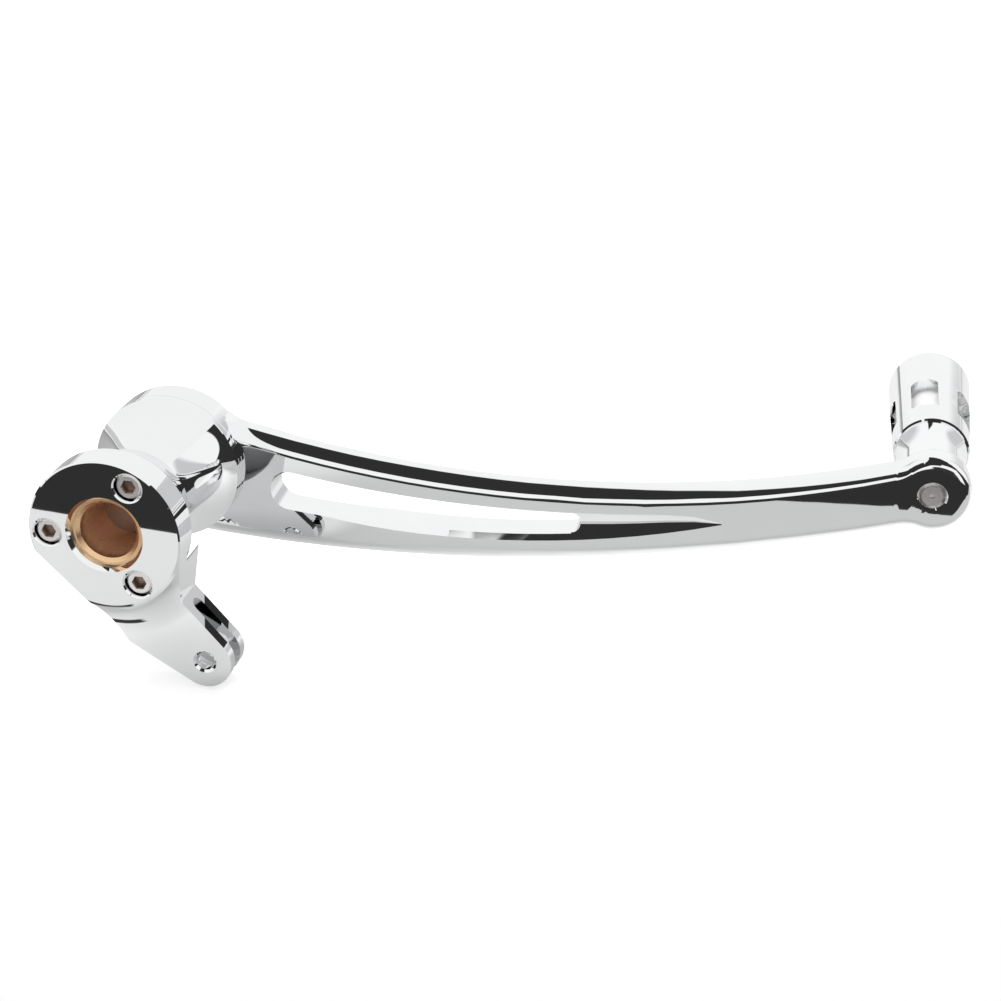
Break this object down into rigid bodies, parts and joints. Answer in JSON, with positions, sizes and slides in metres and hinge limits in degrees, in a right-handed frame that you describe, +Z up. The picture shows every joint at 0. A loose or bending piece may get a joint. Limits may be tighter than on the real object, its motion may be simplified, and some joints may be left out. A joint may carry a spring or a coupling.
{
  "type": "motorcycle rear brake pedal",
  "caption": "Polished rear brake pedal: slotted arm on a waisted pivot barrel, bolted fork lever with bronze bushes, and a windowed toe peg at the tip.",
  "frame": {"origin": "Middle of the pivot bore, on its axis", "axes": "+Y runs along the pivot bore from the plate to the arm and the peg, +X along the arm from the pivot to the peg, +Z up across the arm"},
  "size_m": [0.2979, 0.1649, 0.0802],
  "materials": {
    "chrome": "mirror polished",
    "bronze": "bored and reamed",
    "steel": "zinc plated"
  },
  "bodies": {
    "root": {"brake_arm": "chrome", "pivot_barrel": "chrome", "hub_ring": "chrome", "clevis_lever": "chrome", "front_bush": "bronze", "rear_bush": "bronze", "plate_screw_1": "steel", "plate_screw_2": "steel", "plate_screw_3": "steel", "toe_spindle": "chrome", "toe_sleeve": "chrome"}
  },
  "joints": []
}
